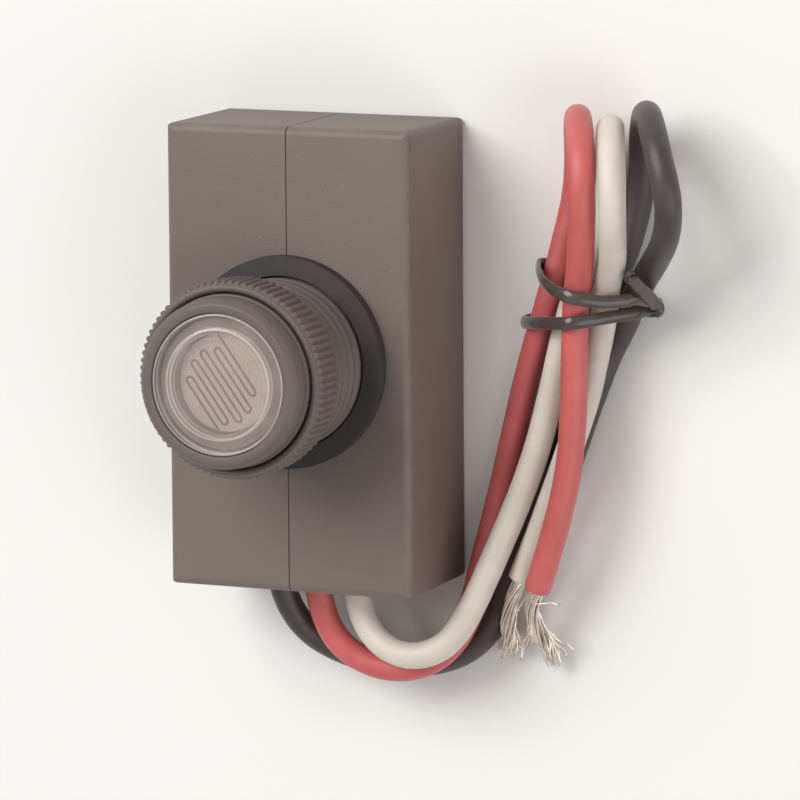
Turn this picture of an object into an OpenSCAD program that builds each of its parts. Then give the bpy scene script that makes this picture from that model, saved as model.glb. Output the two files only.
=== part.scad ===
// Button photocell switch: a two-shell case with a threaded neck, a ring nut and three leads.
// It lies on its back: +Z runs out along the neck, +Y to the top of the case, +X to the right.

/* [Case] */
// Width of the case
case_w = 32; // [30:0.5:36]
// Height of the case
case_h = 57; // [57:0.5:64]
// Depth of the case, back to front
case_d = 18; // [18:0.5:20]
// Wall thickness
wall = 2; // [1.6:0.1:2]
// Rounding of the outer edges
edge_r = 1; // [0.5:0.1:1.5]
// Width and depth of the parting groove
seam = 0.16; // [0.1:0.02:0.4]

/* [Neck] */
// Radius of the neck over its thread
neck_r = 10.5; // [10.4:0.1:10.8]
// Length of the neck from the front face to its rim
neck_len = 20.5; // [19:0.5:22]
// Length of the plain end beyond the thread
plain_len = 3.2; // [3:0.2:5.4]

/* [Nut and gasket] */
// Radius over the teeth of the ring nut
nut_r = 12; // [11.8:0.1:14]
// Thickness of the ring nut
nut_t = 6; // [5:0.5:7]
// Gap between the front face and the back of the nut
nut_gap = 11.2; // [4:0.2:11.2]
// Number of teeth round the nut
nut_teeth = 80; // [60:4:120]
// Radius of the gasket
gasket_r = 13; // [12:0.5:15]
// Thickness of the gasket
gasket_t = 1.6; // [1:0.1:2]

/* [Lens and cell] */
// Radius of the lens flange
lens_r = 8.5; // [8.4:0.05:8.55]
// Rise of the lens dome
dome_h = 0.6; // [0.4:0.1:1]
// Radius of the cell disc
cell_r = 6.1; // [5.8:0.1:6.5]
// Number of legs of the winding track
track_legs = 9; // [5:2:9]
// Turn of the track on the disc
track_turn = 36; // [0:1:90]

/* [Leads] */
// Diameter of each lead over its insulation
lead_d = 3.3; // [3:0.1:3.4]
// Distance between the lead holes
lead_pitch = 5; // [5:0.1:5.2]

/* [Hidden] */
$fn = 64;
front = case_d;
rim = front + neck_len;
plain_r = neck_r - 0.3;
flange_t = 2;
flange_z = case_d - wall - flange_t;
neck_bore_r = 7;
holder_bore_r = 8;
seat_bore_r = 8.6;
lens_t = 1;
lens_seat = rim - lens_t - 0.2;
seal_t = 0.6;
holder_top = rim - 1.35;
holder_foot = rim - 8.1;
cell_top = rim - 2.5;
cell_t = 2;
film_t = 0.15;
track_w = 0.3;
track_pitch = 0.85;
track_shift = [-0.6, -0.5];
cell_lead_x = 4;
nut_back = front + nut_gap;
tooth = 0.3;
nut_lip = 0.5;
board_z = 3.4;
board_t = 1.6;
strip_z = board_z + board_t;
strip_t = 0.8;
lead_z = 9;
tab_y = -17;
arm_z = 9;
arm_root_y = -4;
contact_y = 8;
contact_gap = 0.05;
heater_z = 12.6;
heater_r = 1.7;
wire_r = 0.35;
strand_r = 0.95;
tie_w = 2;
tie_t = 0.44;
rib_y = -24.5;
rib_t = 1.5;
post_r = 1.5;
boss_r = 2.2;
peg_r = 1.2;
rivet_r = 0.95;
rivet_hole_r = 1;
peg_spots = [[23.5, 12.5], [-20.5, 13.3]];
post_spots = [[-11, -16], [11, -16], [-11, 20], [11, 20]];
rivet_spots = [[-8, -10], [-8, 2.5], [0, -10], [5, -12.5], [5, -8]];

// Routes of the three leads, from inside the case to the end of the insulation
red_route = [
  [0, -21, 9], [0, -30, 9], [2.4, -36, 8.6], [7.8, -39, 7.8], [13.8, -38.2, 6.6],
  [17.4, -34.4, 5.4], [19.2, -28, 3.8], [20.8, -20, 2.2], [23, -10.5, 1.8], [25.3, -1.5, 2],
  [28.2, 7.5, 2.6], [30.1, 15, 2], [31.4, 21.8, 1.9], [32.1, 27.1, 3.6], [33.9, 29.9, 8.1],
  [36.1, 28.9, 13.2], [37.6, 24.6, 16.5], [37.6, 19, 16.4], [36.2, 13.4, 13.2], [34.6, 8, 10.4],
  [34, 1, 9.5], [33.7, -6, 9.2], [33, -13, 9.1], [31.2, -20, 8.6], [28.2, -28, 7]];
white_route = [
  [5, -21, 9], [5, -28.9, 9], [7.2, -34.2, 9.8], [12, -36.8, 10.4], [17, -35.4, 10.2],
  [20, -31.4, 9.4], [22.2, -26, 8], [24.8, -19.2, 6.6], [27.2, -12.4, 5.8], [29.2, -5, 5.4],
  [30.7, 1.2, 5.5], [32.1, 8, 4.1], [33.8, 14.5, 2.2], [35.7, 20.8, 2.4], [36.5, 26.1, 4.1],
  [38.3, 28.9, 8.6], [40.3, 27.9, 13.7], [41.7, 23.6, 17], [41.6, 18, 16.7], [40.2, 13.4, 13],
  [38, 9.6, 9], [36.6, 5.6, 6.5], [35.3, 1, 5.5], [34.1, -4, 5.4], [31.9, -10.5, 5.4],
  [29.3, -17.5, 5.3], [25.2, -27.4, 5]];
black_route = [
  [-5, -21, 9], [-5, -29, 9], [-2.8, -35, 6.8], [2.6, -38.6, 4.2], [9, -39.6, 2.4],
  [15.4, -38.2, 1.8], [20.2, -34, 1.8], [22.7, -27, 1.8], [24.5, -20, 1.8], [26.9, -12.6, 1.8],
  [29.6, -4.8, 1.8], [32, 1.2, 1.9], [33.8, 4.7, 2.2], [35.6, 8.2, 2.4], [38, 14, 2],
  [39.7, 21.5, 1.9], [40.6, 27.4, 3.8], [42.6, 30.6, 8], [45, 29.8, 12.6], [47.2, 26.2, 15.8],
  [48.4, 21.4, 16.2], [47.6, 17.4, 14.4], [45.2, 14, 11], [42.4, 11, 7.6], [39.9, 8, 4.5],
  [37.9, 4.6, 2.6], [35.8, 1, 1.8], [33.7, -4, 1.8], [31.3, -10.5, 1.8], [29.9, -14.6, 1.8]];
red_bare = [[28.2, -28, 7], [27.3, -30.4, 6.5], [27.4, -34.5, 3.6], [28.8, -38.5, 1.2]];
white_bare = [[25.2, -27.4, 5], [23.9, -30.4, 4.9], [23, -34, 3.4], [22.6, -38, 1.2]];
black_bare = [[29.9, -14.6, 1.8], [29, -17.3, 1.8], [28, -21, 1.5], [27.5, -24.6, 1.1]];
// Path of the tie: two turns round the bundle, then the twisted tail
tie_route = [
  [41.9, 8.3, 9.2], [39.6, 8.3, 11], [36.3, 8.7, 13.3], [34.9, 9, 13.6], [33.1, 9.4, 12.8],
  [27, 11, 3.4], [26.7, 11.1, 2.2], [27.3, 10.9, 1], [28.7, 10.6, 0.3], [36.2, 8.8, 0.28],
  [37.4, 8.5, 0.6], [40.9, 7.7, 2.2], [42, 7.4, 3.3], [42.4, 7.1, 4.7], [41.8, 6.7, 6.2],
  [39.3, 6.3, 8.9], [35.9, 5.8, 11.7], [34.4, 5.6, 12.3], [32.7, 5.4, 11.5], [25.2, 4.1, 3.6],
  [24.7, 4, 2.4], [25.3, 4.1, 1], [26.9, 4.3, 0.3], [35.2, 5.6, 0.26], [39.2, 6, 0.8],
  [41.4, 6.1, 1.9], [43, 6.6, 3.7], [43.5, 7.4, 6.2], [43.2, 9.2, 9.8], [42.6, 11.6, 13.6]];

function unit(v) = v / norm(v);

// Direction along a route at each of its points
function headings(p) = [for (i = [0 : len(p) - 1])
  unit(p[min(i + 1, len(p) - 1)] - p[max(i - 1, 0)])];

// Side directions carried along the route with the least twist
function sides(t, s, i = 0) = i == len(t) ? [] :
  let (m = unit(s - (s * t[i]) * t[i])) concat([m], sides(t, m, i + 1));

// Closed tube of n sides along a route, a wide along its first side and b along the second.
// A level tube keeps its first side as near as it can to the given direction.
module tube(route, a, b, first, level = false, n = 8) {
  t = headings(route);
  s = level ? [for (v = t) unit(first - (first * v) * v)] : sides(t, first);
  rings = [for (i = [0 : len(route) - 1], k = [0 : n - 1])
    let (q = k * 360 / n)
    route[i] + a * cos(q) * s[i] + b * sin(q) * cross(t[i], s[i])];
  last = (len(route) - 1) * n;
  wall_faces = [for (i = [0 : len(route) - 2], k = [0 : n - 1], half = [0, 1])
    let (j = i * n, m = (k + 1) % n)
    half == 0 ? [j + k, j + n + m, j + m] : [j + k, j + n + k, j + n + m]];
  caps = [[for (k = [0 : n - 1]) k], [for (k = [n - 1 : -1 : 0]) last + k]];
  polyhedron(rings, concat(wall_faces, caps));
}

// Flat rectangle with round corners
module round_rect(w, h, r) {
  square([w - 2 * r, h], center = true);
  square([w, h - 2 * r], center = true);
  for (x = [-1, 1], y = [-1, 1])
    translate([x * (w / 2 - r), y * (h / 2 - r)]) circle(r);
}

// Block standing on z = 0 with all its edges rounded
module round_block(w, h, d, r) {
  translate([0, 0, d / 2]) intersection() {
    linear_extrude(d, center = true) round_rect(w, h, r);
    rotate([90, 0, 0]) linear_extrude(h, center = true) round_rect(w, d, r);
    rotate([0, 90, 0]) linear_extrude(w, center = true) round_rect(d, h, r);
  }
}

// Ring between two radii, from z up by t
module ring(r_out, r_in, z, t) {
  translate([0, 0, z]) difference() {
    cylinder(r = r_out, h = t);
    translate([0, 0, -1]) cylinder(r = r_in, h = t + 2);
  }
}

// The three lead holes through a wall at y, t thick
module lead_holes(y, t) {
  for (i = [-1, 0, 1])
    translate([i * lead_pitch, y - 1, lead_z]) rotate([-90, 0, 0]) cylinder(d = lead_d + 0.1, h = t + 2);
}

// Both halves of the case as one hollow body, before the cut
module case_body() {
  difference() {
    round_block(case_w, case_h, case_d, edge_r);
    translate([-case_w / 2 + wall, -case_h / 2 + wall, wall])
      cube([case_w - 2 * wall, case_h - 2 * wall, case_d - 2 * wall]);
    translate([0, 0, case_d / 2]) cylinder(r = neck_r + 0.05, h = case_d);
    difference() {
      translate([-seam / 2, -case_h, -1]) cube([seam, 2 * case_h, case_d + 1.2]);
      translate([0, 0, seam]) round_block(case_w, case_h - 2 * seam, case_d - 2 * seam, edge_r);
    }
    lead_holes(-case_h / 2, wall);
  }
  difference() {
    translate([-case_w / 2 + 1, rib_y, 1]) cube([case_w - 2, rib_t, case_d - 2]);
    lead_holes(rib_y, rib_t);
  }
  for (p = post_spots) {
    translate([p[0], p[1], wall - 0.5]) cylinder(r = post_r, h = board_z - wall + 0.5);
    translate([p[0], p[1], strip_z]) cylinder(r = post_r - 0.2, h = case_d - wall + 0.5 - strip_z);
  }
}

// Round bosses on one side wall that meet at the parting plane
module bosses(side) {
  for (p = peg_spots)
    translate([side * (case_w / 2 - wall + 0.5), p[0], p[1]]) rotate([0, -side * 90, 0])
      cylinder(r = boss_r, h = case_w / 2 - wall + 0.5);
}

module left_shell() {
  color("dimgray") difference() {
    union() {
      intersection() {
        case_body();
        translate([-case_w, -case_h, -1]) cube([case_w, 2 * case_h, 2 * rim]);
      }
      bosses(-1);
    }
    for (p = peg_spots)
      translate([-3.2, p[0], p[1]]) rotate([0, 90, 0]) cylinder(r = peg_r + 0.1, h = 4);
  }
}

module right_shell() {
  color("dimgray") {
    intersection() {
      case_body();
      translate([0, -case_h, -1]) cube([case_w, 2 * case_h, 2 * rim]);
    }
    bosses(1);
    for (p = peg_spots)
      translate([-3, p[0], p[1]]) rotate([0, 90, 0]) cylinder(r = peg_r, h = 4);
  }
}

// Neck with the flange that the two shells hold behind the front wall
module threaded_neck() {
  color("dimgray") difference() {
    union() {
      translate([0, 0, flange_z]) cylinder(r = neck_r + 2, h = flange_t);
      translate([0, 0, flange_z]) cylinder(r = neck_r, h = rim - plain_len - flange_z);
      translate([0, 0, rim - plain_len - 1]) cylinder(r = plain_r, h = plain_len + 0.4);
      translate([0, 0, rim - 0.6]) cylinder(r1 = plain_r, r2 = plain_r - 0.6, h = 0.6);
    }
    translate([0, 0, flange_z - 1]) cylinder(r = neck_bore_r, h = rim);
    translate([0, 0, holder_foot]) cylinder(r = holder_bore_r, h = rim);
    translate([0, 0, lens_seat - seal_t]) cylinder(r = seat_bore_r, h = rim);
  }
}

module mounting_nut() {
  outline = [for (i = [0 : 2 * nut_teeth - 1])
    let (q = i * 180 / nut_teeth, r = nut_r - tooth * (i % 2)) [r * cos(q), r * sin(q)]];
  color("dimgray") translate([0, 0, nut_back]) difference() {
    union() {
      cylinder(r = nut_r - 2 * tooth, h = nut_t);
      translate([0, 0, nut_lip]) linear_extrude(nut_t - 2 * nut_lip) polygon(outline);
    }
    translate([0, 0, -1]) cylinder(r = neck_r + 0.06, h = nut_t + 2);
    translate([0, 0, nut_t - 0.3]) cylinder(r1 = neck_r, r2 = neck_r + 0.4, h = 0.4);
    translate([0, 0, -0.1]) cylinder(r1 = neck_r + 0.4, r2 = neck_r, h = 0.4);
  }
}

module neck_gasket() {
  color("black") ring(gasket_r, neck_r + 0.15, front, gasket_t);
}

module lens() {
  dome_r = lens_r - 2;
  ball_r = (dome_r * dome_r + dome_h * dome_h) / (2 * dome_h);
  color("gainsboro") {
    translate([0, 0, lens_seat]) cylinder(r = lens_r, h = lens_t);
    intersection() {
      translate([0, 0, lens_seat + lens_t + dome_h - ball_r]) sphere(ball_r, $fn = 180);
      translate([0, 0, lens_seat + lens_t / 2]) cylinder(r = dome_r, h = dome_h + lens_t);
    }
  }
}

module lens_seal() {
  color("black") ring(lens_r, holder_bore_r + 0.1, lens_seat - seal_t, seal_t);
}

module cell_holder() {
  color("darkslategray") difference() {
    translate([0, 0, holder_foot]) cylinder(r = holder_bore_r - 0.1, h = holder_top - holder_foot);
    translate([0, 0, cell_top - cell_t]) cylinder(r = cell_r + 0.1, h = rim);
    for (x = [-1, 1]) translate([x * cell_lead_x, 0, 0]) cylinder(r = wire_r + 0.15, h = rim);
    cylinder(r = 2.5, h = holder_foot + 2.1);
  }
}

module photocell() {
  color("peru") translate([0, 0, cell_top - cell_t]) cylinder(r = cell_r, h = cell_t - film_t);
}

// Winding track across the disc: parallel legs joined end to end by round turns
module track(width, pitch) {
  reach = (track_legs - 1) / 2;
  turn_r = cell_r - 1.7;
  function turn_y(i) = sqrt(pow(turn_r, 2) - pow((abs(i + 0.5) + 0.5) * pitch, 2));
  for (i = [-reach : reach]) {
    up = (i + reach) % 2 == 0 ? 1 : -1;
    low = i > -reach ? turn_y(i - 1) : cell_r;
    high = i < reach ? turn_y(i) : cell_r;
    translate([i * pitch - width / 2, up > 0 ? -low : -high]) square([width, low + high]);
    if (i < reach)
      translate([(i + 0.5) * pitch, up * turn_y(i)]) intersection() {
        difference() {
          circle((pitch + width) / 2);
          circle((pitch - width) / 2);
        }
        translate([-pitch, up > 0 ? -0.01 : -pitch]) square([2 * pitch, pitch + 0.01]);
      }
  }
}

module cell_electrodes() {
  color("wheat") translate([0, 0, cell_top - film_t]) linear_extrude(film_t) difference() {
    circle(cell_r - 0.2);
    translate(track_shift) rotate(track_turn) track(track_w, track_pitch);
  }
}

// Round wire through the points of a path
module wire(path, r) {
  for (i = [0 : len(path) - 2]) {
    v = path[i + 1] - path[i];
    translate(path[i]) rotate([0, acos(v[2] / norm(v)), atan2(v[1], v[0])])
      cylinder(r = r, h = norm(v), $fn = 24);
  }
  for (i = [1 : 1 : len(path) - 2]) translate(path[i]) sphere(r, $fn = 24);
}

module cell_leads() {
  foot = cell_top - cell_t;
  color("silver") {
    wire([[-cell_lead_x, 0, foot], [-cell_lead_x, 0, 13], [-8, 0, 13], [-8, 0, strip_z + strip_t]],
      wire_r);
    wire([[cell_lead_x, 0, foot], [cell_lead_x, 0, heater_z + wire_r]], wire_r);
  }
}

module switch_base() {
  color("saddlebrown") difference() {
    translate([-12, -18, board_z]) cube([24, 40, board_t]);
    for (p = rivet_spots) translate([p[0], p[1], 0]) cylinder(r = rivet_hole_r, h = 9);
  }
}

// Brass strip with an upright tab that takes the bare end of a lead at x
module strip_with_tab(x) {
  difference() {
    union() {
      translate([0, 0, strip_z]) linear_extrude(strip_t) children();
      translate([x - 1.8, tab_y, strip_z]) cube([3.6, strip_t, 6]);
    }
    translate([x, tab_y - 1, lead_z]) rotate([-90, 0, 0]) cylinder(r = 1, h = 3);
    for (p = rivet_spots) translate([p[0], p[1], 0]) cylinder(r = rivet_hole_r, h = 9);
  }
}

module line_terminal() {
  color("goldenrod") strip_with_tab(-lead_pitch) {
    translate([-lead_pitch - 1.8, tab_y]) square([3.6, 4]);
    translate([-10, tab_y + 2]) square([4, contact_y + 3 - tab_y - 2]);
    translate([-10, contact_y - 3]) square([12, 6]);
  }
}

module load_bracket() {
  color("goldenrod") {
    strip_with_tab(0) translate([-1.8, tab_y]) square([3.6, arm_root_y + 0.4 - tab_y]);
    translate([-2.5, arm_root_y - 0.4, strip_z]) cube([5, strip_t, arm_z - 0.05 - strip_z]);
  }
}

module neutral_terminal() {
  color("goldenrod") strip_with_tab(lead_pitch)
    translate([lead_pitch - 1.8, tab_y]) square([3.6, 13]);
}

module fixed_contact() {
  color("silver") translate([0, contact_y, strip_z + strip_t]) cylinder(r = 2, h = 1);
}

module bimetal_arm() {
  reach = contact_y + 2.5 - arm_root_y + 0.9;
  color("tan") translate([-2.5, arm_root_y - 0.9, arm_z]) cube([5, reach, 0.5]);
}

module moving_contact() {
  bottom = strip_z + strip_t + 1 + contact_gap;
  color("silver") translate([0, contact_y, bottom]) cylinder(r = 1.8, h = arm_z - bottom);
}

module heater_resistor() {
  color("burlywood") translate([0, -2, heater_z]) rotate([-90, 0, 0]) cylinder(r = heater_r, h = 8.5);
}

module heater_leads() {
  color("silver") {
    wire([[0, 6.5, heater_z], [0, 10, heater_z], [4, 10, heater_z], [4, -0.5, heater_z]], wire_r);
    wire([[0, -2, heater_z], [0, -5, heater_z], [5, -5, heater_z], [5, -5, strip_z + strip_t]], wire_r);
  }
}

module rivets() {
  color("goldenrod") for (p = rivet_spots) translate([p[0], p[1], 0]) {
    translate([0, 0, board_z - 0.6]) cylinder(r = 1.6, h = 0.6);
    translate([0, 0, board_z - 0.3]) cylinder(r = rivet_r, h = board_t + strip_t + 0.6);
    translate([0, 0, strip_z + strip_t]) cylinder(r = 1.6, h = 0.7);
  }
}

// Insulated lead along its route
module lead(route) {
  tube(route, lead_d / 2, lead_d / 2, [1, 0, 0]);
}

// Bare conductor of a lead: a stub into its tab at x, and the stripped end outside
module strands(x, bare) {
  translate([x, -21, lead_z]) rotate([-90, 0, 0]) cylinder(r = strand_r, h = 6.5);
  tube(bare, strand_r, strand_r, [1, 0, 0]);
}

module red_lead() { color("indianred") lead(red_route); }
module white_lead() { color("whitesmoke") lead(white_route); }
module black_lead() { color("black") lead(black_route); }
module red_strands() { color("silver") strands(0, red_bare); }
module white_strands() { color("silver") strands(lead_pitch, white_bare); }
module black_strands() { color("silver") strands(-lead_pitch, black_bare); }

module wire_tie() {
  color("black") tube(tie_route, tie_w / 2, tie_t / 2, [0, 1, 0], true);
}

left_shell();
right_shell();
threaded_neck();
mounting_nut();
neck_gasket();
lens();
lens_seal();
cell_holder();
photocell();
cell_electrodes();
cell_leads();
switch_base();
line_terminal();
load_bracket();
neutral_terminal();
fixed_contact();
bimetal_arm();
moving_contact();
heater_resistor();
heater_leads();
rivets();
red_lead();
white_lead();
black_lead();
red_strands();
white_strands();
black_strands();
wire_tie();
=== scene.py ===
import bpy
import numpy as np
from mathutils import Matrix


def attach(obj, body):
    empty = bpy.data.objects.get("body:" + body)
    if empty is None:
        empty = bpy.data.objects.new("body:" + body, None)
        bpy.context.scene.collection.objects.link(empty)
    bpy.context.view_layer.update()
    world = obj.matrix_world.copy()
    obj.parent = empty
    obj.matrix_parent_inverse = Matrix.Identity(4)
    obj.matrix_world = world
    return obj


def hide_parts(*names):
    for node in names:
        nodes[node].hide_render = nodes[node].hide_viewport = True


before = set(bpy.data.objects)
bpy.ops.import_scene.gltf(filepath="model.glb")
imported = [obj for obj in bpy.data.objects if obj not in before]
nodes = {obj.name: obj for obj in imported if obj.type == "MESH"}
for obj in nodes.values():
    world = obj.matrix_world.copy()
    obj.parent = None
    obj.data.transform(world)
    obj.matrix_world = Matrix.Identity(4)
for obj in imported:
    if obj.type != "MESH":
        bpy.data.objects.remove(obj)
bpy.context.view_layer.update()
mm = 0.001
print("frame loaded:", len(nodes), "nodes")


viewSpec = {
    "place": (290.8, 107.5, 669.8),       # mm
    "target": (11.4, -5.3, 10.0),         # mm, middle of the picture
    "right": (0.9214, -0.0055, -0.3887),
    "lens": 268.0,
    "clip": (0.01, 20.0),                 # m
}


# vectors divided by their own lengths
def unit(v):
    return v / np.linalg.norm(v, axis=-1, keepdims=True)


# camera whose back points from the target to its place, with its right side made square to that
def makeCamera(spec):
    place = np.array(spec["place"]) * mm
    target = np.array(spec["target"]) * mm
    back = unit(place - target)
    right = np.array(spec["right"])
    right = unit(right - (right @ back) * back)
    up = np.cross(back, right)
    data = bpy.data.cameras.new("camera")
    data.lens = spec["lens"]
    data.clip_start, data.clip_end = spec["clip"]
    camera = bpy.data.objects.new("camera", data)
    bpy.context.scene.collection.objects.link(camera)
    pose = np.eye(4)
    pose[:3, :3] = np.stack([right, up, back], axis=1)
    pose[:3, 3] = place
    camera.matrix_world = Matrix(pose.tolist())
    bpy.context.scene.camera = camera


lampSpec = {
    "key": {"place": (-0.35, 0.45, 0.75), "size": 0.6, "power": 7.0},     # m, m and W
    "fill": {"place": (0.7, -0.3, 0.5), "size": 0.7, "power": 2.6},
    "world": (0.46, 0.455, 0.45),
}


# square lamp turned to face the middle of the case's back
def makeLamp(name, spec):
    data = bpy.data.lights.new(name, "AREA")
    data.energy = spec["power"]
    data.size = spec["size"]
    lamp = bpy.data.objects.new(name, data)
    lamp.location = spec["place"]
    lamp.rotation_mode = "QUATERNION"
    lamp.rotation_quaternion = (-lamp.location).to_track_quat("-Z", "Y")
    bpy.context.scene.collection.objects.link(lamp)


makeCamera(viewSpec)
makeLamp("keyLamp", lampSpec["key"])
makeLamp("fillLamp", lampSpec["fill"])
world = bpy.data.worlds.new("softRoom")
world.use_nodes = True
world.node_tree.nodes["Background"].inputs["Color"].default_value = (*lampSpec["world"], 1)
bpy.context.scene.world = world
bpy.context.scene.view_settings.view_transform = "Standard"
print("camera and lamps set")


# a socket that adds Math nodes when it is used in an expression
class Wire:
    def __init__(self, tree, socket=None):
        self.tree = tree
        self.socket = socket

    # one new node: its settings first, then its sockets by name or number, and the output asked for
    def add(self, kind, settings, sockets, out=0):
        node = self.tree.nodes.new(kind)
        for name, value in settings.items():
            setattr(node, name, value)
        for name, value in sockets.items():
            if isinstance(value, Wire):
                self.tree.links.new(value.socket, node.inputs[name])
            else:
                node.inputs[name].default_value = value
        return Wire(self.tree, node.outputs[out])

    def maths(self, operation, a, b=0.0):
        return self.add("ShaderNodeMath", {"operation": operation}, {0: a, 1: b})

    def __add__(self, other):
        return self.maths("ADD", self, other)

    def __radd__(self, other):
        return self.maths("ADD", other, self)

    def __sub__(self, other):
        return self.maths("SUBTRACT", self, other)

    def __rsub__(self, other):
        return self.maths("SUBTRACT", other, self)

    def __mul__(self, other):
        return self.maths("MULTIPLY", self, other)

    def __rmul__(self, other):
        return self.maths("MULTIPLY", other, self)

    def __truediv__(self, other):
        return self.maths("DIVIDE", self, other)

    def __abs__(self):
        return self.maths("ABSOLUTE", self)

    def least(self, other):
        return self.maths("MINIMUM", self, other)

    def most(self, other):
        return self.maths("MAXIMUM", self, other)

    # 0 below low, 1 above high, smooth between
    def ramp(self, low, high):
        return self.add("ShaderNodeMapRange", {"interpolation_type": "SMOOTHSTEP"},
                        {"Value": self, "From Min": low, "From Max": high})

    # colour a where the value is 0, colour b where it is 1
    def mix(self, a, b):
        return self.add("ShaderNodeMix", {"data_type": "RGBA"}, {0: self, 6: a, 7: b}, out=2)

    def objectCoords(self):
        return self.add("ShaderNodeTexCoord", {}, {}, out=3)

    def uvCoords(self):
        return self.add("ShaderNodeTexCoord", {}, {}, out=2)

    def xyz(self):
        return [self.add("ShaderNodeSeparateXYZ", {}, {"Vector": self}, out=i) for i in range(3)]

    # the same place stretched by three factors
    def stretch(self, x, y, z):
        return self.add("ShaderNodeMapping", {}, {"Vector": self, "Scale": (x, y, z)})

    def noise(self, scale, detail, rough=0.5):
        return self.add("ShaderNodeTexNoise", {},
                        {"Vector": self, "Scale": scale, "Detail": detail, "Roughness": rough})

    # normal of a relief whose height is this value times the depth, in m
    def bump(self, depth, strength=1.0):
        return self.add("ShaderNodeBump", {}, {"Height": self, "Distance": depth, "Strength": strength})


# a colour given as it looks on screen, 0 to 255, turned to linear
def tint(r, g, b):
    c = np.array([r, g, b]) / 255.0
    linear = np.where(c <= 0.04045, c / 12.92, ((c + 0.055) / 1.055) ** 2.4)
    return (*[float(v) for v in linear], 1.0)


# the same kind of colour times a factor, plus a lift, held at 255
def shade(colour, factor, lift=0):
    return tint(*[min(255, c * factor + lift) for c in colour])


# a new material with the fixed values of its shader set
def startMaterial(name, constants):
    material = bpy.data.materials.new(name)
    material.use_nodes = True
    shader = material.node_tree.nodes["Principled BSDF"]
    for socket, value in constants.items():
        shader.inputs[socket].default_value = value
    return material, Wire(material.node_tree), shader


# values that vary over the surface, linked to the shader's sockets
def feed(wire, shader, links):
    for socket, value in links.items():
        wire.tree.links.new(value.socket, shader.inputs[socket])


# natural cubic spline through the points by chord length, resampled to even steps along its length
def smoothPath(points, count, finer=12):
    p = np.array(points, float)
    chord = np.diff(p, axis=0)
    t = np.concatenate([[0], np.cumsum(np.linalg.norm(chord, axis=1))])
    h = np.diff(t)
    n = len(p)
    # the second derivatives m solve a tridiagonal system, with none at either end
    a = np.eye(n)
    rhs = np.zeros((n, 3))
    i = np.arange(1, n - 1)
    a[i, i - 1] = h[:-1]
    a[i, i] = 2 * (h[:-1] + h[1:])
    a[i, i + 1] = h[1:]
    rhs[1:-1] = 6 * (chord[1:] / h[1:, None] - chord[:-1] / h[:-1, None])
    m = np.linalg.solve(a, rhs)
    s = np.linspace(0, t[-1], finer * count)
    k = np.clip(np.searchsorted(t, s, side="right") - 1, 0, n - 2)
    left = (t[k + 1] - s)[:, None]
    right = (s - t[k])[:, None]
    w = h[k][:, None]
    fine = (m[k] * left ** 3 + m[k + 1] * right ** 3) / (6 * w) \
        + (p[k] / w - m[k] * w / 6) * left + (p[k + 1] / w - m[k + 1] * w / 6) * right
    run = np.concatenate([[0], np.cumsum(np.linalg.norm(np.diff(fine, axis=0), axis=1))])
    even = np.linspace(0, run[-1], count)
    return np.stack([np.interp(even, run, fine[:, c]) for c in range(3)], axis=1), run[-1]


# smooth path with its points about one step apart, counted from the length of a coarse one
def steppedPath(points, step, coarse):
    length = smoothPath(points, coarse)[1]
    return smoothPath(points, int(length / step))


# tangent, side and second side at each path point, the side kept square to a reference direction
def pathFrames(path, reference):
    tangent = unit(np.gradient(path, axis=0))
    side = unit(np.cross(tangent, np.broadcast_to(reference, tangent.shape)))
    return tangent, side, np.cross(tangent, side)


# four-cornered faces of a grid, joined round its columns, and round its rows if asked
def gridFaces(rows, columns, closeRows):
    r = np.arange(rows if closeRows else rows - 1)[:, None]
    c = np.arange(columns)[None, :]
    r2 = (r + 1) % rows
    c2 = (c + 1) % columns
    corners = [r * columns + c, r * columns + c2, r2 * columns + c2, r2 * columns + c]
    return np.stack(corners, axis=-1).reshape(-1, 4)


# a mesh object from grids (rows, columns, 3) in mm, each one's rows joined round or its two ends capped
def gridPiece(name, grids, closeRows=False, uv=None, flip=False):
    points = []
    faces = []
    total = 0
    order = -1 if flip else 1
    for grid in grids:
        rows, columns = grid.shape[:2]
        quads = gridFaces(rows, columns, closeRows) + total
        faces += quads[:, ::order].tolist()
        if not closeRows:
            first = np.arange(columns) + total
            ends = np.stack([first[::-1], first + (rows - 1) * columns])
            faces += ends[:, ::order].tolist()
        points.append(grid.reshape(-1, 3))
        total += rows * columns
    mesh = bpy.data.meshes.new(name)
    mesh.from_pydata(np.concatenate(points) * mm, [], faces)
    if uv is not None:
        layer = mesh.uv_layers.new(name="UVMap")
        index = np.zeros(len(mesh.loops), np.int32)
        mesh.loops.foreach_get("vertex_index", index)
        flat = np.concatenate([g.reshape(-1, 2) for g in uv])
        layer.data.foreach_set("uv", flat[index].astype(np.float32).ravel())
    mesh.shade_smooth()
    mesh.validate()
    piece = bpy.data.objects.new(name, mesh)
    bpy.context.scene.collection.objects.link(piece)
    return piece


# round tube: circles of the given radii carried along the path
def tubeGrid(path, radius, sides, reference):
    side, other = pathFrames(path, reference)[1:]
    q = np.linspace(0, 2 * np.pi, sides, endpoint=False)[None, :, None]
    ring = np.cos(q) * side[:, None, :] + np.sin(q) * other[:, None, :]
    return path[:, None, :] + np.reshape(radius, (-1, 1, 1)) * ring


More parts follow.
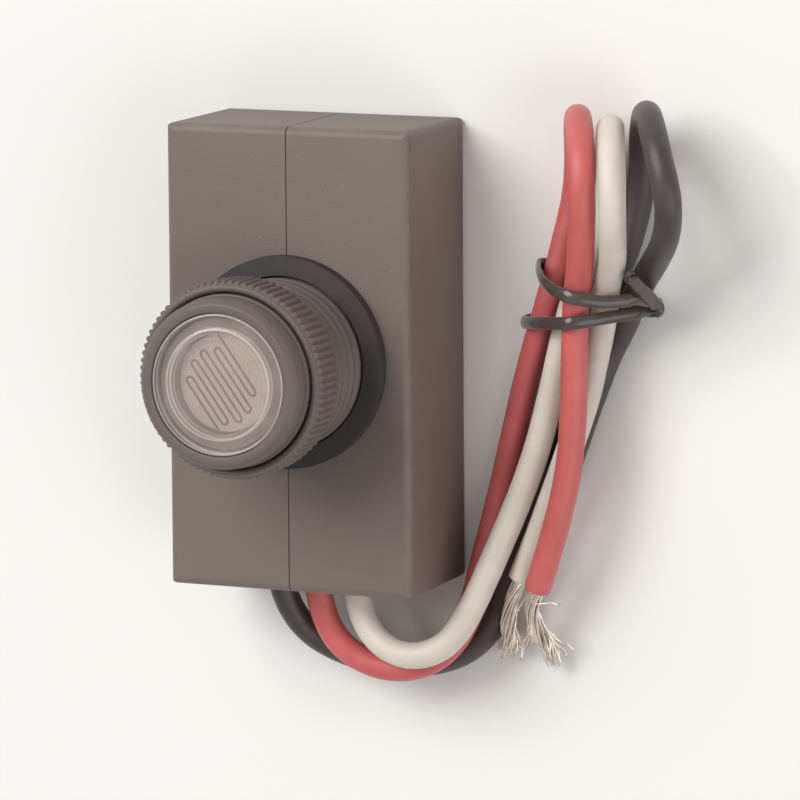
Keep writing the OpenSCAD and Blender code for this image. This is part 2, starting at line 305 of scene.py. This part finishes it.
# outline with each corner replaced by a quadratic curve of the given size, or of a share of its shorter side
def softCorners(outline, size, steps, sideShare=0.45):
    p = np.array(outline, float)
    back = np.roll(p, 1, axis=0) - p
    ahead = np.roll(p, -1, axis=0) - p
    shorter = np.minimum(np.linalg.norm(back, axis=1), np.linalg.norm(ahead, axis=1))
    reach = np.minimum(size, sideShare * shorter)[:, None]
    a = p + unit(back) * reach
    b = p + unit(ahead) * reach
    t = np.linspace(0, 1, steps)[None, :, None]
    curve = (1 - t) ** 2 * a[:, None] + 2 * t * (1 - t) * p[:, None] + t ** 2 * b[:, None]
    return curve.reshape(-1, 2)


# outline of (radius, height) carried round the Z axis, the radius shifted by a function of place and angle
def spinGrid(outline, turns, shift=None):
    q = np.linspace(0, 2 * np.pi, turns, endpoint=False)[None, :]
    r = np.broadcast_to(outline[:, :1], (len(outline), turns)).copy()
    z = np.broadcast_to(outline[:, 1:], r.shape)
    if shift is not None:
        r = r + shift(r, z, q)
    return np.stack([r * np.cos(q), r * np.sin(q), z], axis=-1)


# a new piece gets its material and its body, and the node that it stands for is hidden; the slot is not used
def dress(piece, material, body, slot, *replaced):
    piece.data.materials.clear()
    piece.data.materials.append(material)
    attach(piece, body)
    if replaced:
        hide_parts(*replaced)
    return piece


# a node of the frame keeps its mesh and gets a material
def finishNode(name, material):
    nodes[name].data.materials.clear()
    nodes[name].data.materials.append(material)


leadSpec = {
    "diameter": 3.3,
    "sides": 24,
    "step": 0.55,                         # mm between rings
    "coarse": 40,                         # points from which the length is first taken
    "reference": (-0.6, 0.0, 0.8),
    "swell": ((0.006, 0.9, 0), (0.004, 2.3, 1)),     # share of the radius, rate along the length, start
    # cut end: rings of these shares of the radius, this far past the last one, then back into the hole
    "cutShare": (0.985, 0.95, 0.9, 0.66, 0.58, 0.56),
    "cutPast": (0.03, 0.06, 0.07, 0.07, 0.04, -0.5),
    "cutStep": 0.2,                       # mm along the pattern for each of those rings
    "pattern": 0.01,                      # pattern's length for each mm
    "red": [
        (0, -21, 9), (0, -30, 9), (2.4, -36, 8.6), (7.8, -39, 7.8), (13.8, -38.2, 6.6),
        (17.4, -34.4, 5.4), (19.2, -28, 3.8), (20.8, -20, 2.2), (23, -10.5, 1.8), (25.3, -1.5, 2),
        (28.2, 7.5, 2.6), (30.1, 15, 2), (31.4, 21.8, 1.9), (32.1, 27.1, 3.6), (33.9, 29.9, 8.1),
        (36.1, 28.9, 13.2), (37.6, 24.6, 16.5), (37.6, 19, 16.4), (36.2, 13.4, 13.2), (34.6, 8, 10.4),
        (34, 1, 9.5), (33.7, -6, 9.2), (33, -13, 9.1), (31.2, -20, 8.6), (28.2, -28, 7)],
    "white": [
        (5, -21, 9), (5, -28.9, 9), (7.2, -34.2, 9.8), (12, -36.8, 10.4), (17, -35.4, 10.2),
        (20, -31.4, 9.4), (22.2, -26, 8), (24.8, -19.2, 6.6), (27.2, -12.4, 5.8), (29.2, -5, 5.4),
        (30.7, 1.2, 5.5), (32.1, 8, 4.1), (33.8, 14.5, 2.2), (35.7, 20.8, 2.4), (36.5, 26.1, 4.1),
        (38.3, 28.9, 8.6), (40.3, 27.9, 13.7), (41.7, 23.6, 17), (41.6, 18, 16.7), (40.2, 13.4, 13),
        (38, 9.6, 9), (36.6, 5.6, 6.5), (35.3, 1, 5.5), (34.1, -4, 5.4), (31.9, -10.5, 5.4),
        (29.3, -17.5, 5.3), (25.2, -27.4, 5)],
    "black": [
        (-5, -21, 9), (-5, -29, 9), (-2.8, -35, 6.8), (2.6, -38.6, 4.2), (9, -39.6, 2.4),
        (15.4, -38.2, 1.8), (20.2, -34, 1.8), (22.7, -27, 1.8), (24.5, -20, 1.8), (26.9, -12.6, 1.8),
        (29.6, -4.8, 1.8), (32, 1.2, 1.9), (33.8, 4.7, 2.2), (35.6, 8.2, 2.4), (38, 14, 2),
        (39.7, 21.5, 1.9), (40.6, 27.4, 3.8), (42.6, 30.6, 8), (45, 29.8, 12.6), (47.2, 26.2, 15.8),
        (48.4, 21.4, 16.2), (47.6, 17.4, 14.4), (45.2, 14, 11), (42.4, 11, 7.6), (39.9, 8, 4.5),
        (37.9, 4.6, 2.6), (35.8, 1, 1.8), (33.7, -4, 1.8), (31.3, -10.5, 1.8), (29.9, -14.6, 1.8)],
    "exits": {"red": (0, -28.5, 9), "white": (5, -28.5, 9), "black": (-5, -28.5, 9)},
    "colours": {"red": (191, 91, 89), "white": (205, 196, 186), "black": (66, 60, 58)},
}

# noises are given as scale and detail, ramps as from and to, depths in m
insulationSpec = {
    "ior": 1.5,
    "cloud": (160, 4), "cloudRamp": (0.3, 0.7), "pale": (1.05, 4),
    "grime": (420, 3), "grimeRamp": (0.6, 0.78), "grimeShare": 0.25, "dark": 0.9,
    "lineStretch": (2.0, 60, 1), "lines": (6, 2),
    "rough": 0.3, "roughLines": 0.1, "roughCloud": 0.07,
    "grain": (900, 2), "lineShare": 0.6, "grainShare": 0.4, "depth": 0.00003,
}


# satin extruded insulation: cloudy colour, faint lengthwise lines and a soft handled grime
def insulationFinish(name, colour):
    s = insulationSpec
    material, wire, shader = startMaterial(name, {"IOR": s["ior"]})
    place = wire.objectCoords()
    along = wire.uvCoords()
    cloud = place.noise(*s["cloud"]).ramp(*s["cloudRamp"])
    lines = along.stretch(*s["lineStretch"]).noise(*s["lines"])
    clouded = cloud.mix(tint(*colour), shade(colour, *s["pale"]))
    grime = place.noise(*s["grime"]).ramp(*s["grimeRamp"]) * s["grimeShare"]
    relief = lines * s["lineShare"] + place.noise(*s["grain"]) * s["grainShare"]
    feed(wire, shader, {
        "Base Color": grime.mix(clouded, shade(colour, s["dark"])),
        "Roughness": s["rough"] + s["roughLines"] * lines + s["roughCloud"] * cloud,
        "Normal": relief.bump(s["depth"]),
    })
    return material


# insulation as a tube whose last rings turn in round the conductor, so that the cut end is a flat face
def makeLead(colour):
    spec = leadSpec
    path, length = steppedPath(spec[colour], spec["step"], spec["coarse"])
    s = np.linspace(0, length, len(path))
    swell = 1
    for size, rate, start in spec["swell"]:
        swell = swell + size * np.sin(s * rate + start)
    grid = tubeGrid(path, spec["diameter"] / 2 * swell, spec["sides"], spec["reference"])
    share = np.array(spec["cutShare"])[:, None, None]
    past = np.array(spec["cutPast"])[:, None, None]
    ahead = unit(path[-1] - path[-2])
    turned = path[-1] + (grid[-1] - path[-1])[None] * share + past * ahead
    grid = np.concatenate([grid, turned])
    along = np.concatenate([s, length + spec["cutStep"] * np.arange(1, len(turned) + 1)])[:, None]
    around = np.linspace(0, 1, spec["sides"], endpoint=False)[None, :]
    uv = np.stack(np.broadcast_arrays(along * spec["pattern"], around), axis=-1)
    piece = gridPiece(colour + "Insulation", [grid], uv=[uv])
    vinyl = insulationFinish(colour + "Vinyl", spec["colours"][colour])
    dress(piece, vinyl, "case", "lead_" + colour, colour + "_lead")
    return piece, path, length


strandSpec = {
    "count": 30,
    "radius": 0.15,
    "bundle": 0.84,                       # mm from the middle to the outer wires
    "opening": 1.0,
    "rings": 44,
    "sides": 6,
    "reference": (0.9, 0.1, 0.4),
    "inside": 2.0,                        # mm hidden in the insulation
    "twist": 4.2,                         # radians over a bundle's length
    "spacing": 2.39996,                   # radians from each wire to the next, so that they fill a disc
    "unevenAngle": 0.1,
    "openFrom": 0.3,                      # share of the length from which wires come apart
    "swing": (0.1, 1.2), "stray": 0.8,    # share by which wires move out, and radians by which they turn
    "wave": 0.17, "waveRate": (8, 16), "wavePhase": (0, 6),
    "shorter": (0, 0.16),                 # share of the length by which wires fall short
    "floorGap": 0.05,
    # inner end: way from the lead's first point into its tab, and its wires
    "stub": [(0, -1.0, 0), (0, 1.5, 0), (0, 4.0, 0), (0, 6.4, 0)],
    "stubCount": 18, "stubReach": 0.72, "stubOpening": 0.0,
    "red": [(28.2, -28, 7), (27.3, -30.4, 6.5), (27.4, -34.5, 3.6), (28.8, -38.5, 1.2)],
    "white": [(25.2, -27.4, 5), (23.9, -30.4, 4.9), (23, -34, 3.4), (22.6, -38, 1.2)],
    "black": [(29.9, -14.6, 1.8), (29, -17.3, 1.8), (28, -21, 1.5), (27.5, -24.6, 1.1)],
    # wires that left their bundle: how many, how far they spread, and their way
    "strayReach": 0.3, "strayOpening": 3,
    "strays": {
        "red": [
            (1, 0.0, [(28.0, -28.2, 7.2), (27.8, -29.5, 7.3), (29.4, -29.9, 7.2), (31.9, -29.9, 7.0)]),
            (1, 0.0, [(27.6, -28.4, 6.9), (26.8, -29.4, 6.9), (25.9, -30.2, 6.6), (24.9, -31.4, 6.0)]),
            (6, 0.55, [(27.4, -30.2, 6.6), (26.7, -32.4, 5.4), (25.7, -34.6, 3.6), (25.2, -36.6, 2.2)]),
            (5, 0.6, [(27.6, -31, 6.1), (28.1, -33.2, 4.8), (29.4, -35, 3.4), (31.2, -36.1, 2.4)])],
        "white": [
            (3, 0.5, [(24.1, -30, 5.0), (23.6, -32.6, 4.2), (24.1, -35.2, 2.8), (24.9, -37.2, 1.6)]),
            (2, 0.4, [(23.9, -30.4, 4.9), (22.5, -33, 4.2), (21.7, -35.4, 2.8), (21.2, -37, 1.8)])],
        "black": []},
    "bright": (250, 242, 233), "dull": (218, 203, 188),
    "dullNoise": (700, 3), "dullRamp": (0.35, 0.7), "rough": 0.3, "roughDull": 0.22,
    "grain": (5000, 2), "depth": 0.00001,
}


# tinned copper: bright metal with dull patches
def strandFinish():
    s = strandSpec
    material, wire, shader = startMaterial("tinnedCopper", {"Metallic": 1.0})
    place = wire.objectCoords()
    dull = place.noise(*s["dullNoise"]).ramp(*s["dullRamp"])
    feed(wire, shader, {
        "Base Color": dull.mix(tint(*s["bright"]), tint(*s["dull"])),
        "Roughness": s["rough"] + s["roughDull"] * dull,
        "Normal": place.noise(*s["grain"]).bump(s["depth"]),
    })
    return material


# ways of n wires round a path, each at its own place in a disc that turns with the twist and opens
# towards the end, where each wire swings out, waves, and stops a little short
def bundleWays(points, n, reach, opening, rng):
    s = strandSpec
    path, length = smoothPath(points, s["rings"])
    tangent, side, other = pathFrames(path, s["reference"])
    t = np.linspace(0, 1, s["rings"])[None, :]
    i = np.arange(n)
    rest = reach * np.sqrt((i + 0.5) / n)[:, None]
    free = np.clip((t - s["openFrom"]) / (1 - s["openFrom"]), 0, 1) ** 2
    swing = opening * rng.uniform(*s["swing"], (n, 1)) * free
    angle = (i * s["spacing"] + rng.normal(0, s["unevenAngle"], n))[:, None] + s["twist"] * t
    angle = angle + free * rng.normal(0, s["stray"], (n, 1))
    rate = rng.uniform(*s["waveRate"], (n, 1))
    phase = rng.uniform(*s["wavePhase"], (n, 1))
    far = rest * (1 + swing) + s["wave"] * free * np.sin(t * rate + phase)
    across = (far * np.cos(angle))[..., None] * side[None]
    centre = path[None] + across + (far * np.sin(angle))[..., None] * other[None]
    centre = centre - (rng.uniform(*s["shorter"], (n, 1)) * free * length)[..., None] * tangent[None]
    centre[..., 2] = np.maximum(centre[..., 2], s["radius"] + s["floorGap"])
    return list(centre)


# bare conductor: the bundle at the cut end, its strays, and the stub at the inner end, all thin tubes
def makeStrands(colour, seed, finish):
    s = strandSpec
    rng = np.random.default_rng(seed)
    bare = np.array(s[colour], float)
    start = bare[0] - unit(bare[1] - bare[0]) * s["inside"]
    ways = bundleWays(np.vstack([start, bare]), s["count"], s["bundle"], s["opening"], rng)
    for n, spread, points in s["strays"][colour]:
        ways += bundleWays(points, n, s["strayReach"], spread * s["strayOpening"], rng)
    stub = np.array(leadSpec[colour][0], float) + np.array(s["stub"])
    ways += bundleWays(stub, s["stubCount"], s["stubReach"], s["stubOpening"], rng)
    radius = np.full(s["rings"], s["radius"])
    grids = [tubeGrid(way, radius, s["sides"], s["reference"]) for way in ways]
    piece = gridPiece(colour + "Strands", grids)
    return dress(piece, finish, "case", "strands", colour + "_strands")


tinned = strandFinish()
for seed, colour in enumerate(("red", "white", "black"), start=11):
    lead, path, length = makeLead(colour)
    ends = makeStrands(colour, seed, tinned)
print("leads made")


floorSpec = {"size": 3.0, "colour": (236, 234, 231), "rough": 0.8}     # m


# one flat square under the case
def makeFloor():
    half = floorSpec["size"] / 2
    corners = [(-half, -half, 0), (half, -half, 0), (half, half, 0), (-half, half, 0)]
    mesh = bpy.data.meshes.new("floor")
    mesh.from_pydata(corners, [], [(0, 1, 2, 3)])
    constants = {"Base Color": tint(*floorSpec["colour"]), "Roughness": floorSpec["rough"]}
    mesh.materials.append(startMaterial("paleFloor", constants)[0])
    floor = bpy.data.objects.new("floor", mesh)
    bpy.context.scene.collection.objects.link(floor)


makeFloor()
print("floor laid")


plasticSpec = {
    "case": {"colour": (113, 101, 94), "grain": 3000, "depth": 0.00003, "rough": 0.48},
    "neck": {"colour": (100, 90, 85), "grain": 2400, "depth": 0.00002, "rough": 0.42},
    "nut": {"colour": (102, 92, 87), "grain": 2400, "depth": 0.00002, "rough": 0.42},
    "holder": {"colour": (120, 105, 98), "grain": 2400, "depth": 0.00002, "rough": 0.45},
    "ior": 1.48,
    "grainDetail": 2, "grainRough": 0.6, "roughGrain": 0.14,
    "cloud": (60, 3), "cloudRamp": (0.25, 0.75), "tones": (0.98, 1.02),
    "specks": (1500, 1), "speckRamp": (0.74, 0.8), "speckShare": 0.35,
    "rub": (300, 3), "rubRamp": (0.4, 0.7), "rubShare": 0.12,
    "pale": (1.3, 8),
}


# matt moulded plastic: fine spark grain, an even tone, a few pale specks and slightly paler rubbed edges
def plasticFinish(kind, edge=None):
    s = plasticSpec
    own = s[kind]
    colour = own["colour"]
    material, wire, shader = startMaterial(kind + "Moulding", {"IOR": s["ior"]})
    place = wire.objectCoords()
    grain = place.noise(own["grain"], s["grainDetail"], s["grainRough"])
    cloud = place.noise(*s["cloud"]).ramp(*s["cloudRamp"])
    low, high = s["tones"]
    base = cloud.mix(shade(colour, low), shade(colour, high))
    pale = place.noise(*s["specks"]).ramp(*s["speckRamp"]) * s["speckShare"]
    if edge is not None:
        pale = pale + place.noise(*s["rub"]).ramp(*s["rubRamp"]) * edge(place) * s["rubShare"]
    feed(wire, shader, {
        "Base Color": pale.mix(base, shade(colour, *s["pale"])),
        "Roughness": own["rough"] + s["roughGrain"] * grain,
        "Normal": grain.bump(own["depth"]),
    })
    return material


caseSpec = {"half": (0.016, 0.0285, 0.009), "rubbed": (-0.0011, -0.0004)}     # m


# nearness to the case's edges: the second largest of the distances past its sides in x, y and z
def caseEdge(place):
    x, y, z = place.xyz()
    halfX, halfY, halfZ = caseSpec["half"]
    a = abs(x) - halfX
    b = abs(y) - halfY
    c = abs(z - halfZ) - halfZ
    second = a.least(b).most(a.most(b).least(c))
    return second.ramp(*caseSpec["rubbed"])


caseFinish = plasticFinish("case", caseEdge)
for name in ("left_shell", "right_shell"):
    finishNode(name, caseFinish)
print("case finished")


neckSpec = {
    "crest": 10.47, "depth": 0.62, "pitch": 1.81,      # mm
    "flank": 0.34, "land": 0.26,          # shares of the pitch and of the flank: slope and flat crest
    "straight": 0.7, "rounded": 0.3,      # shares of a straight and of a rounded flank
    "threadLow": 18.6, "threadHigh": 35.1, "runOut": 1.2,
    "turns": 180, "wallRows": 260, "wall": (16.2, 35.2), "onWall": 1e-6,
    "corner": 0.12, "cornerSteps": 3,
    "foot": [(7.0, 14.05), (12.45, 14.05), (12.45, 15.95), (10.47, 15.95)],
    "end": [(10.47, 35.3), (10.2, 35.4), (10.2, 37.9), (9.6, 38.5), (8.62, 38.5), (8.62, 36.7),
            (8.0, 36.7), (8.0, 30.4), (7.0, 30.4)],
}


# neck: its outline spun round, with the wall cut by a groove that climbs one pitch a turn
def makeNeck():
    s = neckSpec
    height = np.linspace(*s["wall"], s["wallRows"])
    wall = np.stack([np.full(s["wallRows"], s["crest"]), height], axis=1)
    end = softCorners(s["end"], s["corner"], s["cornerSteps"])[1:]
    outline = np.concatenate([np.array(s["foot"]), wall, end])

    # depth by the distance from the crest's middle, in turns, faded out at both ends of the thread
    def groove(r, z, q):
        phase = (z / s["pitch"] - q / (2 * np.pi)) % 1
        cut = np.clip((0.5 - np.abs(phase - 0.5)) / s["flank"] - s["land"], 0, 1)
        cut = s["straight"] * cut + s["rounded"] * cut * cut * (3 - 2 * cut)
        below = np.clip((z - s["threadLow"]) / s["runOut"], 0, 1)
        above = np.clip((s["threadHigh"] - z) / s["runOut"], 0, 1)
        onWall = np.abs(r - s["crest"]) < s["onWall"]
        return -s["depth"] * cut * (below * above) * onWall

    piece = gridPiece("threadedNeck", [spinGrid(outline, s["turns"], groove)], closeRows=True)
    return dress(piece, plasticFinish("neck"), "case", "neck", "threaded_neck")


nutSpec = {
    "teeth": 80, "perTooth": 12,
    "tooth": 0.32, "point": 1.6,          # mm deep, and how narrow the gaps are
    "proud": 11.45, "rise": 0.45,         # mm: radius where the teeth begin, and to their full depth
    "corner": 0.16, "cornerSteps": 4,
    "outline": [(10.58, 29.6), (10.9, 29.2), (11.4, 29.2), (11.5, 29.6), (11.97, 29.9), (11.97, 34.5),
                (11.5, 34.8), (11.4, 35.2), (10.9, 35.2), (10.58, 34.8)],
}


# nut: its outline spun round, with rounded teeth where the band stands proud
def makeNut():
    s = nutSpec
    outline = softCorners(s["outline"], s["corner"], s["cornerSteps"])

    # a raised cosine of the angle, to a power, taken off the proud band
    def teeth(r, z, q):
        proud = np.clip((r - s["proud"]) / s["rise"], 0, 1)
        wave = (0.5 - 0.5 * np.cos(q * s["teeth"])) ** s["point"]
        return -s["tooth"] * wave * proud

    piece = gridPiece("toothedNut", [spinGrid(outline, s["teeth"] * s["perTooth"], teeth)], closeRows=True)
    return dress(piece, plasticFinish("nut"), "nut", "nut", "mounting_nut")


makeNeck()
makeNut()
print("neck and nut made")


lensSpec = {
    "turns": 360,
    "hub": 0.02,                          # mm, radius of the small cap at the middle
    "dome": 38.85, "domeEdge": (6.42, 38.4), "domeRows": 22,
    "outline": [(6.62, 38.39), (6.74, 38.31), (6.86, 38.27), (8.0, 38.27), (8.12, 38.34), (8.3, 38.38),
                (8.46, 38.3), (8.5, 38.15), (8.5, 37.45), (8.35, 37.32)],
    "under": 37.32, "underEdge": 8.2, "underRows": 8,
    "ior": 1.49, "colour": (224, 214, 208), "clear": (0.97, 0.965, 0.955, 1),
    # mm from and to, and share: painted highlights, rings where the clear moulding turns paler and more
    # opaque to stand for the light its edges gather
    "rings": ((5.4, 5.75, 0.06), (5.95, 6.25, 0.09), (6.42, 6.82, 0.32), (8.2, 8.55, 0.36)),
    "highlightRingSoft": (0.35, 1.0),
    "annulus": (6.8, 7.0, -0.02),
    "haze": 0.085, "hazeNoise": (300, 3), "hazeRamp": (0.4, 0.8), "hazeShare": 0.06,
    "slant": 0.5, "gloss": (0.04, 0.96), "glossPower": 5.0, "glossShare": 0.8,
    "rough": 0.08, "roughNoise": (400, 3), "roughRamp": (0.4, 0.8), "roughShare": 0.1,
    "ripple": (120, 1), "rippleDepth": 0.00001, "rippleStrength": 0.4,
}


# clear moulding: see-through, with a gloss that grows towards a grazing view, a light haze and painted
# highlight rings at its edges
def clearFinish():
    s = lensSpec
    constants = {"IOR": s["ior"], "Base Color": tint(*s["colour"])}
    material, wire, shader = startMaterial("clearMoulding", constants)
    place = wire.objectCoords()
    x, y = place.xyz()[:2]
    r = wire.maths("SQRT", x * x + y * y) * 1000      # mm
    share = place.noise(*s["hazeNoise"]).ramp(*s["hazeRamp"]) * s["hazeShare"] + s["haze"]
    low, high, most = s["annulus"]
    share = share + r.ramp(low, high) * most
    # painted highlights: at each ring's radius the moulding turns paler and more opaque
    for low, high, most in s["rings"]:
        middle = (low + high) / 2
        half = (high - low) / 2
        share = share + (1 - (abs(r - middle) / half).ramp(*s["highlightRingSoft"])) * most
    slant = wire.add("ShaderNodeLayerWeight", {}, {"Blend": s["slant"]}, out=1)
    least, gain = s["gloss"]
    gloss = least + gain * wire.maths("POWER", slant, s["glossPower"])
    feed(wire, shader, {
        "Roughness": s["rough"] + s["roughShare"] * place.noise(*s["roughNoise"]).ramp(*s["roughRamp"]),
        "Normal": place.noise(*s["ripple"]).bump(s["rippleDepth"], s["rippleStrength"]),
    })
    through = wire.add("ShaderNodeBsdfTransparent", {}, {"Color": s["clear"]})
    body = Wire(wire.tree, shader.outputs[0])
    share = (share + gloss * s["glossShare"]).least(1.0)
    mixed = wire.add("ShaderNodeMixShader", {}, {0: share, 1: through, 2: body})
    output = wire.tree.nodes["Material Output"]
    wire.tree.links.new(mixed.socket, output.inputs["Surface"])
    return material


# lens: a dome that falls with the square of the radius, in a flat ring with a beaded rim, spun round
def makeLens():
    s = lensSpec
    edge, low = s["domeEdge"]
    r = np.linspace(s["hub"], edge, s["domeRows"])
    dome = np.stack([r, s["dome"] - (s["dome"] - low) * (r / edge) ** 2], axis=1)
    back = np.linspace(s["underEdge"], s["hub"], s["underRows"])
    under = np.stack([back, np.full(s["underRows"], s["under"])], axis=1)
    outline = np.concatenate([dome, np.array(s["outline"]), under])
    piece = gridPiece("clearLens", [spinGrid(outline, s["turns"])], flip=True)
    return dress(piece, clearFinish(), "case", "lens", "lens")


cellSpec = {
    "film": {"colour": (182, 164, 156), "rough": 0.35, "speckle": 0.5},
    "ceramic": {"colour": (102, 89, 82), "rough": 0.55, "speckle": 0.7},
    "spots": (2600, 3), "spotRamp": (0.4, 0.7), "dark": 0.86,
    "cloud": (260, 3), "roughCloud": 0.15, "depth": 0.00001,
}


# dull ceramic or printed film with a fine speckle
def cellFinish(name, kind):
    s = cellSpec
    own = s[kind]
    colour = own["colour"]
    material, wire, shader = startMaterial(name, {})
    place = wire.objectCoords()
    spot = place.noise(*s["spots"]).ramp(*s["spotRamp"])
    cloud = place.noise(*s["cloud"])
    feed(wire, shader, {
        "Base Color": (spot * own["speckle"]).mix(tint(*colour), shade(colour, s["dark"])),
        "Roughness": own["rough"] + s["roughCloud"] * cloud,
        "Normal": spot.bump(s["depth"]),
    })
    return material


makeLens()
finishNode("cell_electrodes", cellFinish("cellFilm", "film"))
finishNode("photocell", cellFinish("cellCeramic", "ceramic"))
finishNode("cell_holder", plasticFinish("holder"))
print("lens and cell made")


tieSpec = {
    "halfWidth": 0.8, "core": 0.4, "edge": 0.2, "coreWidth": 0.55,      # mm
    "squareness": 6, "side": 1.001,       # power of the section's ends, and how far out they close
    "step": 0.35, "coarse": 60, "sides": 28, "floorGap": 0.02,
    "tail": ((43.5, 7.2, 6.2), (42.7, 11.8, 13.6)),
    "tailTurns": 2.25, "tailRadius": 0.42, "tailRows": 15,
    "tailSide": 41.5, "tailBlend": 0.8, "tailStart": 0.2,               # where the strip turns to the tail
    "route": [
        (41.9, 8.3, 9.2), (39.6, 8.3, 11), (36.3, 8.7, 13.3), (34.9, 9, 13.6), (33.1, 9.4, 12.8),
        (27, 11, 3.4), (26.7, 11.1, 2.2), (27.3, 10.9, 1), (28.7, 10.6, 0.3), (36.2, 8.8, 0.28),
        (37.4, 8.5, 0.6), (40.9, 7.7, 2.2), (42, 7.4, 3.3), (42.4, 7.1, 4.7), (41.8, 6.7, 6.2),
        (39.3, 6.3, 8.9), (35.9, 5.8, 11.7), (34.4, 5.6, 12.3), (32.7, 5.4, 11.5), (25.2, 4.1, 3.6),
        (24.7, 4, 2.4), (25.3, 4.1, 1), (26.9, 4.3, 0.3), (35.2, 5.6, 0.26), (39.2, 6, 0.8),
        (41.4, 6.1, 1.9), (43, 6.6, 3.7)],
    "ior": 1.5, "colour": (74, 66, 62), "pale": (86, 77, 72),
    "dull": (500, 3), "dullRamp": (0.4, 0.75), "rough": 0.15, "roughDull": 0.12,
    "ripple": (160, 1), "depth": 0.00001,
}


# glossy strip, paler and duller in patches
def tieFinish():
    s = tieSpec
    material, wire, shader = startMaterial("glossyTie", {"IOR": s["ior"]})
    place = wire.objectCoords()
    dull = place.noise(*s["dull"]).ramp(*s["dullRamp"])
    feed(wire, shader, {
        "Base Color": dull.mix(tint(*s["colour"]), tint(*s["pale"])),
        "Roughness": s["rough"] + s["roughDull"] * dull,
        "Normal": place.noise(*s["ripple"]).bump(s["depth"]),
    })
    return material


# tie: a flat strip with a raised core carried twice round the leads, its ends wound round each other
def makeTie():
    s = tieSpec
    base, tip = np.array(s["tail"])
    axis = unit(tip - base)
    n1 = unit(np.cross(axis, (1.0, 0, 0)))
    n2 = np.cross(axis, n1)
    t = np.linspace(0, 1, s["tailRows"])
    turn = 2 * np.pi * s["tailTurns"] * t

    # one end as a screw line round the tail's axis
    def wound(phase):
        ring = np.cos(turn + phase)[:, None] * n1 + np.sin(turn + phase)[:, None] * n2
        return base + t[:, None] * (tip - base) + s["tailRadius"] * ring

    points = np.concatenate([wound(0.0)[::-1], np.array(s["route"]), wound(np.pi)])
    path = steppedPath(points, s["step"], s["coarse"])[0]
    near = np.clip(((path - base) @ axis) / s["tailBlend"] + s["tailStart"], 0, 1)[:, None]
    near = near * (path[:, :1] > s["tailSide"])
    # the strip's width lies along the leads, and along the tail's axis where it is wound
    reference = unit((1 - near) * np.array([0, 1.0, 0]) + near * axis)
    tangent = unit(np.gradient(path, axis=0))
    wide = unit(reference - np.sum(reference * tangent, axis=1, keepdims=True) * tangent)
    thick = np.cross(tangent, wide)
    # section: flat with rounded ends, lifted in the middle by a bell curve
    q = np.linspace(0, 2 * np.pi, s["sides"], endpoint=False)
    x = np.cos(q) * s["halfWidth"]
    lift = s["edge"] + (s["core"] - s["edge"]) * np.exp(-(x / s["coreWidth"]) ** 2)
    ends = np.sqrt(np.clip(1 - (x / s["side"] / s["halfWidth"]) ** s["squareness"], 0, 1))
    y = np.sign(np.sin(q)) * lift * ends
    grid = path[:, None, :] + x[None, :, None] * wide[:, None, :] + y[None, :, None] * thick[:, None, :]
    grid[..., 2] = np.maximum(grid[..., 2], s["floorGap"])
    piece = gridPiece("wireTie", [grid])
    return dress(piece, tieFinish(), "case", "tie", "wire_tie")


makeTie()
print("tie made")


innerSpec = {
    "neck_gasket": ("rubber", (62, 56, 54)),
    "lens_seal": ("rubber", (112, 99, 92)),
    "switch_base": ("board", (118, 82, 54)),
    "line_terminal": ("metal", (196, 160, 92)),
    "load_bracket": ("metal", (196, 160, 92)),
    "neutral_terminal": ("metal", (196, 160, 92)),
    "rivets": ("metal", (204, 172, 108)),
    "fixed_contact": ("metal", (212, 210, 204)),
    "moving_contact": ("metal", (212, 210, 204)),
    "bimetal_arm": ("metal", (176, 160, 134)),
    "cell_leads": ("metal", (200, 196, 190)),
    "heater_leads": ("metal", (200, 196, 190)),
    "heater_resistor": ("glaze", (196, 168, 120)),
}
innerKinds = {
    "rubber": {"metal": 0.0, "rough": 0.62, "grain": (1500, 3), "depth": 0.00003},
    "board": {"metal": 0.0, "rough": 0.5, "grain": (900, 3), "depth": 0.00002},
    "metal": {"metal": 1.0, "rough": 0.3, "grain": (1800, 3), "depth": 0.00001},
    "glaze": {"metal": 0.0, "rough": 0.25, "grain": (700, 3), "depth": 0.00001},
    "tone": (180, 3), "toneRamp": (0.3, 0.7), "tones": (0.92, 1.05), "roughGrain": 0.15,
}


# plain finish with grain, tone and gloss that vary a little
def innerFinish(name, kind, colour):
    s = innerKinds
    own = s[kind]
    material, wire, shader = startMaterial(name + "Finish", {"Metallic": own["metal"]})
    place = wire.objectCoords()
    grain = place.noise(*own["grain"])
    tone = place.noise(*s["tone"]).ramp(*s["toneRamp"])
    low, high = s["tones"]
    feed(wire, shader, {
        "Base Color": tone.mix(shade(colour, low), shade(colour, high)),
        "Roughness": own["rough"] + s["roughGrain"] * grain,
        "Normal": grain.bump(own["depth"]),
    })
    return material


for name, (kind, colour) in innerSpec.items():
    finishNode(name, innerFinish(name, kind, colour))
print("inner pieces finished")
